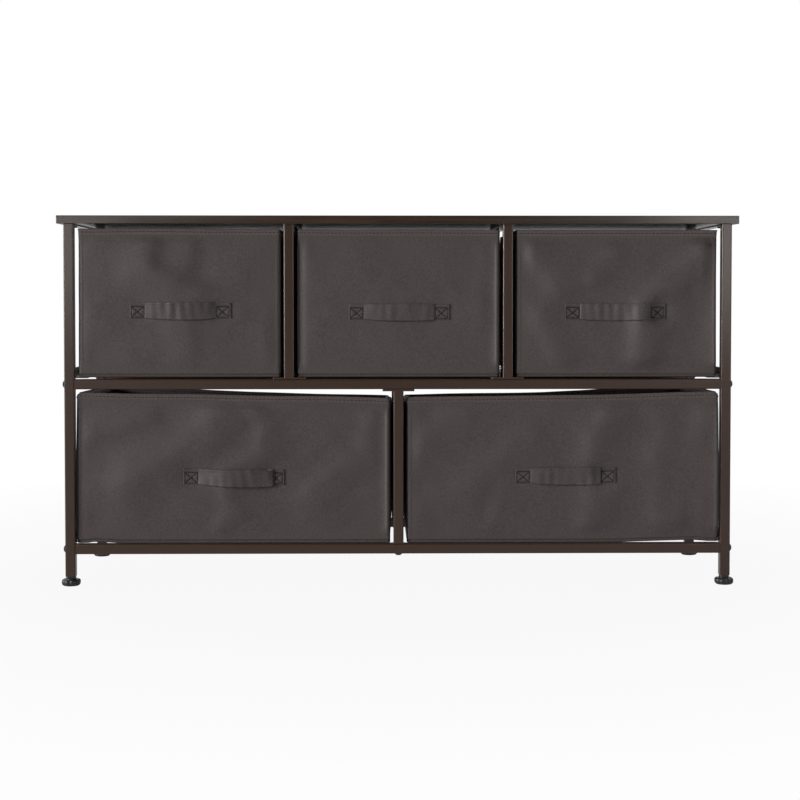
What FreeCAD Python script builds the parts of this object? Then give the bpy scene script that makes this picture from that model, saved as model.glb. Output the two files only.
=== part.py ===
import FreeCAD, Part
import math
import os
import Sketcher
from FreeCAD import Placement, Rotation, Vector

# Wide chest of five fabric drawers: a bolted square-tube frame, a wood-look top and levelling feet.
# Frame of reference: +Z up, -Y is the front, origin on the floor under the middle of the top board.

# Driving sizes in millimetres, one sheet cell each.
SIZES = (
    ("overall_width", 1000, "top board, side to side"),
    ("overall_depth", 305, "top board, front to back"),
    ("overall_height", 545, "floor to the top of the board"),
    ("board_thickness", 12, "top board"),
    ("board_edge_round", 0.8, "eased edges of the top board"),
    ("board_side_overhang", 9, "board past the legs at each side"),
    ("board_front_overhang", 6.5, "board past the legs at front and back"),
    ("tube_width", 15, "square tube of the legs, posts and long rails"),
    ("tube_wall", 1.2, "wall of every tube"),
    ("tube_corner", 2, "outside corner radius of every tube"),
    ("bottom_rail_height", 46.8, "floor to the underside of the bottom rails"),
    ("mid_rail_height", 290, "floor to the underside of the middle rails"),
    ("runner_rise", 2.5, "drawer runners above the long rails"),
    ("runner_thickness", 1.5, "bent sheet of the side runners"),
    ("runner_height", 13.5, "upright web of a side runner"),
    ("runner_reach", 17, "flange of a side runner past the legs"),
    ("runner_setback", 3, "web of a side runner behind the outside of the legs"),
    ("runner_bend", 2, "outside bend radius of a side runner"),
    ("strap_thickness", 2, "flat straps under the board"),
    ("plate_length", 47, "post plates and post runners, side to side"),
    ("plate_thickness", 3, "head plates of the lower posts"),
    ("plate_recess", 8.6, "sunk seat of a screw head in a head plate"),
    ("plate_screw_offset", 16, "plate screws from the post centre"),
    ("plug_length", 12, "threaded plugs in tube ends"),
    ("plug_gap", 0.1, "play of plugs and sleeves inside a tube"),
    ("bolt_diameter", 6, "frame bolts"),
    ("bolt_play", 0.1, "radial play of a bolt in its plug"),
    ("bolt_hole", 6.4, "bolt holes in tube walls"),
    ("bolt_head_diameter", 11, "button heads"),
    ("bolt_head_height", 2.8, "button heads"),
    ("bolt_crown_diameter", 6.6, "flat crown of a button head"),
    ("bolt_rim_height", 1, "straight rim of a button head"),
    ("bolt_end_gap", 1, "bolt end short of the plug's far face"),
    ("socket_diameter", 4.6, "hexagon socket across its corners"),
    ("socket_depth", 1.5, "hexagon socket"),
    ("access_hole", 11.8, "holes that let a bolt head into a middle rail"),
    ("screw_diameter", 4, "pan-head screws"),
    ("screw_hole", 4.4, "screw holes"),
    ("screw_head_diameter", 8, "pan-head screws"),
    ("screw_head_height", 2.2, "pan-head screws"),
    ("screw_crown_diameter", 5, "flat crown of a pan head"),
    ("screw_rim_height", 1, "straight rim of a pan head"),
    ("screw_bite", 8.5, "screw length inside the board"),
    ("screw_end_gap", 1, "pilot hole past the screw's end"),
    ("strap_screw_inset", 52, "strap screws from the ends of the straps"),
    ("sleeve_length", 18, "leg sleeves, inside the leg"),
    ("sleeve_collar", 3.3, "black collar of a sleeve below the leg"),
    ("sleeve_collar_width", 14, "black collar of a sleeve below the leg"),
    ("sleeve_collar_corner", 4, "black collar of a sleeve below the leg"),
    ("stud_diameter", 8, "threaded studs of the feet"),
    ("stud_length", 26, "threaded studs of the feet"),
    ("stud_seat", 3, "floor to the lower end of a stud"),
    ("stud_play", 0.1, "radial play of a stud in its sleeve"),
    ("stud_seat_play", 0.05, "radial play of a stud in its pad"),
    ("foot_height", 10.4, "foot pads"),
    ("foot_gap", 0.3, "foot hub under the sleeve collar"),
    ("foot_diameter", 28, "foot pads, over the lobes"),
    ("foot_base_diameter", 24.6, "foot pads, on the floor"),
    ("foot_base_height", 1.2, "floor to the underside of the lobes"),
    ("foot_lobe_height", 8, "straight lobed edge"),
    ("foot_rim_diameter", 23, "highest ring of the dished top"),
    ("foot_rim_top", 9.6, "highest ring of the dished top"),
    ("foot_dish_height", 8.4, "bottom of the dished top"),
    ("foot_hub_diameter", 15, "hub under the sleeve"),
    ("foot_lobes", 8, "number of lobes round a foot pad"),
    ("scallop_diameter", 7, "hollow between two lobes"),
    ("scallop_depth", 1.1, "hollow between two lobes"),
    ("drawer_side_gap", 4.7, "play between a drawer and its bay at each side"),
    ("drawer_top_gap", 6.5, "upper drawers under the straps"),
    ("drawer_rail_gap", 8.7, "lower drawers under the middle rails"),
    ("drawer_setback", 4, "drawer fronts behind the front of the legs"),
    ("drawer_rear_gap", 2, "drawer backs ahead of the rear of the legs"),
    ("drawer_corner", 6, "upright corner radius of the drawers"),
    ("drawer_bottom_round", 5, "bottom edge radius of the drawers"),
    ("skin_thickness", 1.2, "outer fabric"),
    ("panel_thickness", 2.5, "stiffening panels inside the walls"),
    ("panel_seat", 6, "bottom seam that the panels stand in"),
    ("panel_fold_gap", 3, "gap where a side wall folds"),
    ("lining_thickness", 0.8, "inner fabric"),
    ("mouth_corner", 2, "upright corner radius inside the drawers"),
    ("hem_thickness", 2, "fabric folded over the panels at the top"),
    ("base_thickness", 3, "loose base boards"),
    ("base_gap", 1, "play round the loose base boards"),
    ("handle_length", 149, "strap handles, with their sewn ends"),
    ("handle_span", 105, "strap handles between the sewn ends"),
    ("handle_width", 23, "strap handles, top to bottom"),
    ("handle_thickness", 2, "strap handles"),
    ("handle_bow", 7.5, "finger gap behind the middle of a strap"),
    ("handle_drop", 119.5, "drawer top to the middle of the strap"),
)

# Sizes and places that follow from the driving sizes, as sheet formulas.
WORKED_OUT = [
    ("frame_width", "overall_width - 2 * board_side_overhang"),
    ("frame_depth", "overall_depth - 2 * board_front_overhang"),
    ("frame_half_width", "frame_width / 2"),
    ("leg_x", "frame_half_width - tube_width / 2"),
    ("leg_y", "frame_depth / 2 - tube_width / 2"),
    ("tube_bore_half", "tube_width / 2 - tube_wall"),
    ("board_underside", "overall_height - board_thickness"),
    ("strap_underside", "board_underside - strap_thickness"),
    ("sleeve_underside", "foot_height + foot_gap"),
    ("leg_underside", "sleeve_underside + sleeve_collar"),
    ("leg_length", "strap_underside - leg_underside"),
    ("bottom_rail_centre", "bottom_rail_height + tube_width / 2"),
    ("bottom_rail_top", "bottom_rail_height + tube_width"),
    ("mid_rail_centre", "mid_rail_height + tube_width / 2"),
    ("mid_rail_top", "mid_rail_height + tube_width"),
    ("mid_rail_ceiling", "mid_rail_top - tube_wall"),
    ("bottom_runner_top", "bottom_rail_top + runner_rise"),
    ("mid_runner_top", "mid_rail_top + runner_rise"),
    ("runner_length", "frame_depth - 2 * tube_width"),
    ("runner_width", "tube_width + runner_reach - runner_setback"),
    ("runner_web_x", "frame_half_width - runner_setback"),
    ("runner_web_rise", "runner_height - runner_thickness"),
    ("runner_inner_bend", "runner_bend - runner_thickness"),
    ("leg_bottom_hole", "bottom_rail_centre - leg_underside"),
    ("leg_mid_hole", "mid_rail_centre - leg_underside"),
    ("rail_length", "frame_width - 2 * tube_width"),
    ("upper_bay", "(rail_length - 2 * tube_width) / 3"),
    ("lower_bay", "(rail_length - tube_width) / 2"),
    ("post_x", "(upper_bay + tube_width) / 2"),
    ("upper_post_length", "strap_underside - mid_runner_top"),
    ("plate_underside", "mid_rail_height - plate_thickness"),
    ("plate_seat", "plate_underside + screw_head_height"),
    ("lower_post_length", "plate_underside - bottom_rail_top"),
    ("plug_half", "tube_bore_half - plug_gap"),
    ("plug_bore", "bolt_diameter + 2 * bolt_play"),
    ("rail_plug_x", "rail_length / 2 - plug_length / 2"),
    ("upper_plug_height", "mid_runner_top + plug_length / 2"),
    ("lower_plug_height", "bottom_rail_top + plug_length / 2"),
    ("bolt_radius", "bolt_diameter / 2"),
    ("bolt_head_radius", "bolt_head_diameter / 2"),
    ("bolt_crown_radius", "bolt_crown_diameter / 2"),
    ("socket_radius", "socket_diameter / 2"),
    ("socket_floor", "bolt_head_height - socket_depth"),
    ("frame_bolt_length", "tube_width + plug_length - bolt_end_gap"),
    ("divider_bolt_length", "tube_wall + runner_rise + plug_length - bolt_end_gap"),
    ("screw_radius", "screw_diameter / 2"),
    ("screw_head_radius", "screw_head_diameter / 2"),
    ("screw_crown_radius", "screw_crown_diameter / 2"),
    ("strap_screw_offset", "frame_depth / 2 - strap_screw_inset"),
    ("screw_length", "strap_thickness + screw_bite"),
    ("pilot_depth", "screw_bite + screw_end_gap"),
    ("sleeve_bore", "stud_diameter + 2 * stud_play"),
    ("stud_radius", "stud_diameter / 2"),
    ("pad_bore", "stud_diameter + 2 * stud_seat_play"),
    ("pad_bore_depth", "foot_height - stud_seat"),
    ("foot_radius", "foot_diameter / 2"),
    ("foot_base_radius", "foot_base_diameter / 2"),
    ("foot_lobe_top", "foot_base_height + foot_lobe_height"),
    ("foot_rim_radius", "foot_rim_diameter / 2"),
    ("foot_hub_radius", "foot_hub_diameter / 2"),
    ("scallop_x", "foot_radius + scallop_diameter / 2 - scallop_depth"),
    ("drawer_depth", "frame_depth - drawer_setback - drawer_rear_gap"),
    ("drawer_front", "frame_depth / 2 - drawer_setback"),
    ("drawer_y", "drawer_depth / 2 - drawer_front"),
    ("wall_thickness", "skin_thickness + panel_thickness + lining_thickness"),
    ("mouth_depth", "drawer_depth - 2 * wall_thickness"),
    ("cavity_depth", "drawer_depth - 2 * skin_thickness"),
    ("cavity_corner", "drawer_corner - skin_thickness"),
    ("lining_depth", "mouth_depth + 2 * lining_thickness"),
    ("lining_corner", "mouth_corner + lining_thickness"),
    ("side_panel_length", "(drawer_depth - 2 * drawer_corner - panel_fold_gap) / 2"),
    ("side_panel_front", "panel_fold_gap / 2 + side_panel_length"),
    ("side_panel_rear", "panel_fold_gap / 2"),
    ("front_panel_y", "drawer_depth / 2 - skin_thickness"),
    ("rear_panel_y", "front_panel_y - panel_thickness"),
    ("base_depth", "mouth_depth - 2 * base_gap"),
    ("handle_bow_radius", "(handle_span ^ 2 / 4 + handle_bow ^ 2) / (2 * handle_bow)"),
    ("upper_drawer_floor", "mid_runner_top"),
    ("lower_drawer_floor", "bottom_runner_top"),
    ("upper_drawer_top", "strap_underside - drawer_top_gap"),
    ("lower_drawer_top", "mid_rail_height - drawer_rail_gap"),
    ("upper_drawer_pitch", "upper_bay + tube_width"),
    ("lower_drawer_pitch", "(lower_bay + tube_width) / 2"),
]
for tier in ("upper", "lower"):
    WORKED_OUT += [
        (f"{tier}_drawer_width", f"{tier}_bay - 2 * drawer_side_gap"),
        (f"{tier}_mouth_width", f"{tier}_drawer_width - 2 * wall_thickness"),
        (f"{tier}_cavity_width", f"{tier}_drawer_width - 2 * skin_thickness"),
        (f"{tier}_lining_width", f"{tier}_mouth_width + 2 * lining_thickness"),
        (f"{tier}_base_width", f"{tier}_mouth_width - 2 * base_gap"),
        (f"{tier}_panel_length", f"{tier}_drawer_width - 2 * drawer_corner"),
        (f"{tier}_panel_half", f"{tier}_panel_length / 2"),
        (f"{tier}_right_panel_x", f"{tier}_drawer_width / 2 - skin_thickness - panel_thickness"),
        (f"{tier}_left_panel_x", f"{tier}_drawer_width / 2 - skin_thickness"),
        (f"{tier}_drawer_height", f"{tier}_drawer_top - {tier}_drawer_floor"),
        (f"{tier}_mouth_reach", f"{tier}_drawer_height - skin_thickness"),
        (f"{tier}_hem_underside", f"{tier}_drawer_height - hem_thickness"),
        (f"{tier}_panel_height", f"{tier}_hem_underside - panel_seat"),
        (f"{tier}_handle_height", f"{tier}_drawer_top - handle_drop"),
        (f"{tier}_base_floor", f"{tier}_drawer_floor + skin_thickness"),
    ]

SIDES = (("left", "-"), ("right", ""))
ENDS = (("front", "-"), ("rear", ""))
PROFILE_PLANES = {"x": "YZ_Plane", "z": "XY_Plane"}
TOWARDS_RIGHT = Rotation(Vector(0, 1, 0), 90)
TOWARDS_LEFT = Rotation(Vector(0, 1, 0), -90)
UPRIGHT = Rotation()
HALF_TURN = Rotation(Vector(0, 0, 1), 180)

doc = FreeCAD.newDocument("chest_of_drawers")
sheet = doc.addObject("Spreadsheet::Sheet", "sheet")
nodes = []


def fill_sheet():
    row = 0
    for alias, number, meaning in SIZES:
        row += 1
        sheet.set(f"A{row}", meaning)
        sheet.set(f"B{row}", str(number))
        sheet.setAlias(f"B{row}", alias)
    for alias, formula in WORKED_OUT:
        row += 1
        sheet.set(f"A{row}", "worked out")
        sheet.set(f"B{row}", f"={formula}")
        sheet.setAlias(f"B{row}", alias)
    doc.recompute()


def cell(name):
    """The number in a cell, or its negative where the name starts with a minus sign."""
    if name == "0":
        return 0.0
    if name.startswith("-"):
        return -float(sheet.get(name[1:]))
    return float(sheet.get(name))


def bind(item, prop, name):
    sign = "-" if name.startswith("-") else ""
    item.setExpression(prop, f"{sign}sheet.{name.lstrip('-')}")


def place(item, x="0", y="0", z="0", turn=UPRIGHT):
    item.Placement = Placement(Vector(cell(x), cell(y), cell(z)), turn)
    for axis, name in (("x", x), ("y", y), ("z", z)):
        if name != "0":
            bind(item, f"Placement.Base.{axis}", name)
    return item


def as_node(item, label):
    item.Label = label
    nodes.append(item)
    return item


# Sketches and features


def origin_feature(body, role):
    return next(item for item in body.Origin.OriginFeatures if item.Role == role)


def new_sketch(body, name, plane, lift=None):
    sketch = body.newObject("Sketcher::SketchObject", name)
    sketch.AttachmentSupport = [(origin_feature(body, plane), "")]
    sketch.MapMode = "FlatFace"
    if lift:
        bind(sketch, "AttachmentOffset.Base.z", lift)
    return sketch


def constrain(sketch, kind, *arguments, name=None, size=None):
    rule = Sketcher.Constraint(kind, *arguments)
    if name:
        rule.Name = name
    sketch.addConstraint(rule)
    if size:
        bind(sketch, f"Constraints.{name}", size)


def fix_point(sketch, geometry, end, x, y, name):
    """Ties a point to sheet cells, measured from the sketch's origin."""
    for kind, value, axis in (("DistanceX", x, -2), ("DistanceY", y, -1)):
        if value == "0":
            constrain(sketch, "PointOnObject", geometry, end, axis)
            continue
        size = value.lstrip("-")
        pair = (geometry, end, -1, 1) if value.startswith("-") else (-1, 1, geometry, end)
        constrain(sketch, kind, *pair, cell(size), name=f"{name}_{kind}", size=size)


def rounded_rectangle(sketch, name, width, depth, corner):
    half_width = cell(width) / 2
    half_depth = cell(depth) / 2
    radius = cell(corner)
    x = half_width - radius
    y = half_depth - radius
    sides = (
        (Vector(-x, -half_depth), Vector(x, -half_depth), Vector(x, -y)),
        (Vector(half_width, -y), Vector(half_width, y), Vector(x, y)),
        (Vector(x, half_depth), Vector(-x, half_depth), Vector(-x, y)),
        (Vector(-half_width, y), Vector(-half_width, -y), Vector(-x, -y)),
    )
    quarter = math.pi / 2
    lines = []
    arcs = []
    for index, (start, end, centre) in enumerate(sides):
        lines.append(sketch.addGeometry(Part.LineSegment(start, end)))
        circle = Part.Circle(centre, Vector(0, 0, 1), radius)
        arc = Part.ArcOfCircle(circle, (index - 1) * quarter, index * quarter)
        arcs.append(sketch.addGeometry(arc))
    for index in range(4):
        constrain(sketch, "Tangent", lines[index], 2, arcs[index], 1)
        constrain(sketch, "Tangent", arcs[index], 2, lines[(index + 1) % 4], 1)
        constrain(sketch, ("Horizontal", "Vertical")[index % 2], lines[index])
    for arc in arcs[1:]:
        constrain(sketch, "Equal", arcs[0], arc)
    constrain(sketch, "Symmetric", arcs[0], 3, arcs[2], 3, -1, 1)
    constrain(sketch, "DistanceX", lines[3], 1, lines[1], 1, cell(width), name=f"{name}_width", size=width)
    constrain(sketch, "DistanceY", lines[0], 1, lines[2], 1, cell(depth), name=f"{name}_depth", size=depth)
    constrain(sketch, "Radius", arcs[0], radius, name=f"{name}_corner", size=corner)


def circle(sketch, name, diameter, x="0", y="0"):
    shape = Part.Circle(Vector(cell(x), cell(y)), Vector(0, 0, 1), cell(diameter) / 2)
    geometry = sketch.addGeometry(shape)
    fix_point(sketch, geometry, 3, x, y, name)
    constrain(sketch, "Diameter", geometry, cell(diameter), name=f"{name}_diameter", size=diameter)


def outline(sketch, points):
    """Closed straight-sided outline whose corners are sheet cells."""
    corners = [Vector(cell(x), cell(y)) for x, y in points]
    lines = []
    for start, end in zip(corners, corners[1:] + corners[:1]):
        lines.append(sketch.addGeometry(Part.LineSegment(start, end)))
    for index, line in enumerate(lines):
        constrain(sketch, "Coincident", lines[index - 1], 2, line, 1)
        fix_point(sketch, line, 1, *points[index], name=f"corner_{index}")


def square(sketch, half):
    outline(sketch, ((f"-{half}", f"-{half}"), (half, f"-{half}"), (half, half), (f"-{half}", half)))


def pad(body, sketch, length, symmetric=False):
    feature = body.newObject("PartDesign::Pad", f"{sketch.Name}_pad")
    feature.Profile = sketch
    feature.SideType = "Symmetric" if symmetric else "One side"
    bind(feature, "Length", length)
    doc.recompute()
    return feature


def pocket(body, sketch, depth=None, upwards=False):
    """Cuts right through, or to a depth below the sketch, or above it."""
    before = body.Shape.Volume
    feature = body.newObject("PartDesign::Pocket", f"{sketch.Name}_pocket")
    feature.Profile = sketch
    if depth:
        bind(feature, "Length", depth)
        feature.Reversed = upwards
    else:
        feature.Type = "ThroughAll"
        feature.SideType = "Symmetric"
    doc.recompute()
    if body.Shape.Volume >= before:
        raise RuntimeError(f"{feature.Name} cuts nothing")
    return feature


def revolve(body, sketch):
    feature = body.newObject("PartDesign::Revolution", f"{sketch.Name}_turn")
    feature.Profile = sketch
    feature.ReferenceAxis = (sketch, ["V_Axis"])
    doc.recompute()
    return feature


def round_edges(body, base, radius, wanted):
    names = []
    for index, edge in enumerate(base.Shape.Edges):
        if wanted(edge):
            names.append(f"Edge{index + 1}")
    feature = body.newObject("PartDesign::Fillet", f"{base.Name}_round")
    feature.Base = (base, names)
    bind(feature, "Radius", radius)
    doc.recompute()
    return feature


def new_body(name):
    return doc.addObject("PartDesign::Body", name)


def group(label, source, places):
    """One node made of separate copies of a piece, each at its own place."""
    copies = []
    for x, y, z, turn in places:
        copy = doc.addObject("App::Link", f"{label}_copy")
        copy.LinkedObject = source
        copies.append(place(copy, x, y, z, turn))
    compound = doc.addObject("Part::Compound", label)
    compound.Links = copies
    return as_node(compound, label)


# Frame


def tube(label, axis, length, from_end=False):
    body = new_body(label)
    sketch = new_sketch(body, f"{label}_section", PROFILE_PLANES[axis])
    rounded_rectangle(sketch, "outside", "tube_width", "tube_width", "tube_corner")
    square(sketch, "tube_bore_half")
    pad(body, sketch, length, symmetric=not from_end)
    return as_node(body, label)


def top_board():
    body = new_body("top_board")
    sketch = new_sketch(body, "board_outline", "XY_Plane")
    rounded_rectangle(sketch, "board", "overall_width", "overall_depth", "board_edge_round")
    slab = pad(body, sketch, "board_thickness")
    round_edges(body, slab, "board_edge_round", lambda edge: edge.BoundBox.ZLength < edge.Length / 2)
    pilots = new_sketch(body, "board_pilots", "XY_Plane")
    for index, (x, y) in enumerate(strap_screw_places()):
        circle(pilots, f"pilot_{index}", "screw_hole", x, y)
    pocket(body, pilots, "pilot_depth", upwards=True)
    place(body, z="board_underside")
    as_node(body, "top_board")


def strap_screw_places():
    places = []
    for x in ("-leg_x", "-post_x", "post_x", "leg_x"):
        for y in ("-strap_screw_offset", "strap_screw_offset"):
            places.append((x, y))
    return places


def side_runner(label):
    """Bent angle that carries a drawer: the web stands at zero and the flange's top lies at zero."""
    body = new_body(label)
    sketch = new_sketch(body, f"{label}_section", "XZ_Plane")
    outline(sketch, (
        ("0", "-runner_thickness"),
        ("runner_width", "-runner_thickness"),
        ("runner_width", "0"),
        ("runner_thickness", "0"),
        ("runner_thickness", "runner_web_rise"),
        ("0", "runner_web_rise"),
    ))
    angle = pad(body, sketch, "runner_length", symmetric=True)
    half_sheet = cell("runner_thickness") / 2

    def outer_bend(edge):
        return edge.BoundBox.XMax < half_sheet and edge.BoundBox.ZMax < -half_sheet

    def inner_bend(edge):
        return edge.BoundBox.XMax < 3 * half_sheet and abs(edge.CenterOfMass.z) < half_sheet

    bent = round_edges(body, angle, "runner_bend", outer_bend)
    round_edges(body, bent, "runner_inner_bend", inner_bend)
    return as_node(body, label)


def side_frames():
    for side, left in SIDES:
        for end, front in ENDS:
            leg = tube(f"leg_{end}_{side}", "z", "leg_length", from_end=True)
            holes = new_sketch(leg, f"leg_{end}_{side}_holes", "YZ_Plane")
            circle(holes, "bottom", "bolt_hole", y="leg_bottom_hole")
            circle(holes, "middle", "bolt_hole", y="leg_mid_hole")
            pocket(leg, holes)
            place(leg, f"{left}leg_x", f"{front}leg_y", "leg_underside")
        inwards = UPRIGHT if side == "left" else HALF_TURN
        for level in ("mid", "bottom"):
            runner = side_runner(f"side_runner_{level}_{side}")
            place(runner, f"{left}runner_web_x", z=f"{level}_runner_top", turn=inwards)


def long_rails():
    for end, front in ENDS:
        mid = tube(f"{end}_mid_rail", "x", "rail_length")
        shanks = new_sketch(mid, f"{end}_mid_shanks", "XY_Plane")
        access = new_sketch(mid, f"{end}_mid_access", "XY_Plane")
        plates = new_sketch(mid, f"{end}_mid_plates", "XY_Plane")
        for side, left in SIDES:
            circle(shanks, side, "bolt_hole", f"{left}post_x")
            circle(access, side, "access_hole", f"{left}post_x")
            circle(plates, side, "screw_hole", f"{left}plate_screw_offset")
        pocket(mid, shanks, "tube_width", upwards=True)
        pocket(mid, access, "tube_width")
        pocket(mid, plates, "tube_width")
        place(mid, y=f"{front}leg_y", z="mid_rail_centre")

        bottom = tube(f"{end}_bottom_rail", "x", "rail_length")
        hole = new_sketch(bottom, f"{end}_bottom_hole", "XY_Plane")
        circle(hole, "centre", "bolt_hole")
        pocket(bottom, hole)
        place(bottom, y=f"{front}leg_y", z="bottom_rail_centre")


def posts():
    for end, front in ENDS:
        for side, left in SIDES:
            upper = tube(f"upper_post_{end}_{side}", "z", "upper_post_length", from_end=True)
            place(upper, f"{left}post_x", f"{front}leg_y", "mid_runner_top")
        lower = tube(f"lower_post_{end}", "z", "lower_post_length", from_end=True)
        place(lower, y=f"{front}leg_y", z="bottom_rail_top")


def straps():
    strap = new_body("strap")
    sketch = new_sketch(strap, "strap_outline", "XY_Plane")
    rounded_rectangle(sketch, "strap", "tube_width", "frame_depth", "tube_corner")
    pad(strap, sketch, "strap_thickness")
    holes = new_sketch(strap, "strap_holes", "XY_Plane")
    for end, front in ENDS:
        circle(holes, end, "screw_hole", y=f"{front}strap_screw_offset")
    pocket(strap, holes)
    places = []
    for x in ("-leg_x", "-post_x", "post_x", "leg_x"):
        places.append((x, "0", "strap_underside", UPRIGHT))
    group("top_straps", strap, places)


def post_runners():
    """Wide straps under the upper posts, which carry the drawers at both sides of a post."""
    strap = new_body("post_runner")
    sketch = new_sketch(strap, "post_runner_outline", "XY_Plane")
    rounded_rectangle(sketch, "strap", "plate_length", "frame_depth", "tube_corner")
    pad(strap, sketch, "runner_rise")
    holes = new_sketch(strap, "post_runner_holes", "XY_Plane")
    for end, front in ENDS:
        circle(holes, end, "bolt_hole", y=f"{front}leg_y")
    pocket(strap, holes)
    places = [(f"{left}post_x", "0", "mid_rail_top", UPRIGHT) for side, left in SIDES]
    group("post_runners", strap, places)


def post_head_plates():
    plate = new_body("head_plate")
    sketch = new_sketch(plate, "plate_outline", "XY_Plane")
    rounded_rectangle(sketch, "plate", "plate_length", "tube_width", "tube_corner")
    pad(plate, sketch, "plate_thickness")
    holes = new_sketch(plate, "plate_holes", "XY_Plane")
    for side, left in SIDES:
        circle(holes, side, "screw_hole", f"{left}plate_screw_offset")
    pocket(plate, holes)
    seats = new_sketch(plate, "plate_seats", "XY_Plane")
    for side, left in SIDES:
        circle(seats, side, "plate_recess", f"{left}plate_screw_offset")
    pocket(plate, seats, "screw_head_height", upwards=True)
    places = [("0", f"{front}leg_y", "plate_underside", UPRIGHT) for end, front in ENDS]
    group("post_head_plates", plate, places)


# Fasteners and feet


def tube_plugs():
    plug = new_body("plug")
    sketch = new_sketch(plug, "plug_section", "XY_Plane")
    square(sketch, "plug_half")
    circle(sketch, "thread", "plug_bore")
    pad(plug, sketch, "plug_length", symmetric=True)
    places = []
    for end, front in ENDS:
        for side, left in SIDES:
            for level in ("bottom", "mid"):
                spot = (f"{left}rail_plug_x", f"{front}leg_y", f"{level}_rail_centre", TOWARDS_RIGHT)
                places.append(spot)
            places.append((f"{left}post_x", f"{front}leg_y", "upper_plug_height", UPRIGHT))
        places.append(("0", f"{front}leg_y", "lower_plug_height", UPRIGHT))
    group("tube_plugs", plug, places)


def fastener(name, head, length):
    """Headed pin with its shank along +Z and the underside of its head at zero."""
    body = new_body(name)
    sketch = new_sketch(body, f"{name}_half", "XZ_Plane")
    outline(sketch, (
        ("0", f"-{head}_head_height"),
        (f"{head}_crown_radius", f"-{head}_head_height"),
        (f"{head}_head_radius", f"-{head}_rim_height"),
        (f"{head}_head_radius", "0"),
        (f"{head}_radius", "0"),
        (f"{head}_radius", length),
        ("0", length),
    ))
    revolve(body, sketch)
    return body


def socket_bolt(name, length):
    pin = fastener(f"{name}_pin", "bolt", length)
    socket = doc.addObject("Part::Prism", f"{name}_socket")
    socket.Polygon = 6
    bind(socket, "Circumradius", "socket_radius")
    bind(socket, "Height", "socket_depth")
    place(socket, z="-bolt_head_height")
    bolt = doc.addObject("Part::Cut", name)
    bolt.Base = pin
    bolt.Tool = socket
    doc.recompute()
    return bolt


def bolts_and_screws():
    places = []
    inner_places = []
    for end, front in ENDS:
        for side, left in SIDES:
            turn = TOWARDS_RIGHT if side == "left" else TOWARDS_LEFT
            for level in ("bottom", "mid"):
                places.append((f"{left}frame_half_width", f"{front}leg_y", f"{level}_rail_centre", turn))
            inner_places.append((f"{left}post_x", f"{front}leg_y", "mid_rail_ceiling", UPRIGHT))
        places.append(("0", f"{front}leg_y", "bottom_rail_height", UPRIGHT))
    group("frame_bolts", socket_bolt("frame_bolt", "frame_bolt_length"), places)
    group("divider_bolts", socket_bolt("divider_bolt", "divider_bolt_length"), inner_places)

    screw_places = []
    for x, y in strap_screw_places():
        screw_places.append((x, y, "strap_underside", UPRIGHT))
    for end, front in ENDS:
        for side, left in SIDES:
            spot = (f"{left}plate_screw_offset", f"{front}leg_y", "plate_seat", UPRIGHT)
            screw_places.append(spot)
    group("pan_screws", fastener("pan_screw", "screw", "screw_length"), screw_places)


def leg_sleeves():
    sleeve = new_body("sleeve")
    collar = new_sketch(sleeve, "sleeve_collar_outline", "XY_Plane")
    rounded_rectangle(collar, "collar", "sleeve_collar_width", "sleeve_collar_width", "sleeve_collar_corner")
    pad(sleeve, collar, "sleeve_collar")
    shank = new_sketch(sleeve, "sleeve_shank_outline", "XY_Plane", lift="sleeve_collar")
    square(shank, "plug_half")
    pad(sleeve, shank, "sleeve_length")
    bore = new_sketch(sleeve, "sleeve_bore_outline", "XY_Plane")
    circle(bore, "bore", "sleeve_bore")
    pocket(sleeve, bore)
    places = []
    for side, left in SIDES:
        for end, front in ENDS:
            places.append((f"{left}leg_x", f"{front}leg_y", "sleeve_underside", UPRIGHT))
    group("leg_sleeves", sleeve, places)


def foot_pad(label):
    body = new_body(label)
    half = new_sketch(body, f"{label}_half", "XZ_Plane")
    outline(half, (
        ("0", "0"),
        ("foot_base_radius", "0"),
        ("foot_base_radius", "foot_lobe_top"),
        ("foot_rim_radius", "foot_rim_top"),
        ("foot_hub_radius", "foot_dish_height"),
        ("foot_hub_radius", "foot_height"),
        ("0", "foot_height"),
    ))
    revolve(body, half)
    rim = new_sketch(body, f"{label}_rim", "XY_Plane", lift="foot_base_height")
    circle(rim, "rim", "foot_diameter")
    pad(body, rim, "foot_lobe_height")
    hollow = new_sketch(body, f"{label}_scallop", "XY_Plane", lift="foot_base_height")
    circle(hollow, "scallop", "scallop_diameter", "scallop_x")
    cut = pocket(body, hollow, "foot_lobe_height", upwards=True)
    lobes = body.newObject("PartDesign::PolarPattern", f"{label}_lobes")
    lobes.Originals = [cut]
    lobes.Axis = (origin_feature(body, "Z_Axis"), [""])
    lobes.Angle = 360
    bind(lobes, "Occurrences", "foot_lobes")
    body.Tip = lobes
    doc.recompute()
    seat = new_sketch(body, f"{label}_seat", "XY_Plane", lift="foot_height")
    circle(seat, "seat", "pad_bore")
    pocket(body, seat, "pad_bore_depth")
    return as_node(body, label)


def foot_stud(label):
    stud = doc.addObject("Part::Cylinder", label)
    bind(stud, "Radius", "stud_radius")
    bind(stud, "Height", "stud_length")
    return as_node(stud, label)


def feet():
    for side, left in SIDES:
        for end, front in ENDS:
            place(foot_pad(f"foot_pad_{end}_{side}"), f"{left}leg_x", f"{front}leg_y")
            place(foot_stud(f"foot_stud_{end}_{side}"), f"{left}leg_x", f"{front}leg_y", "stud_seat")


# Drawers


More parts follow.
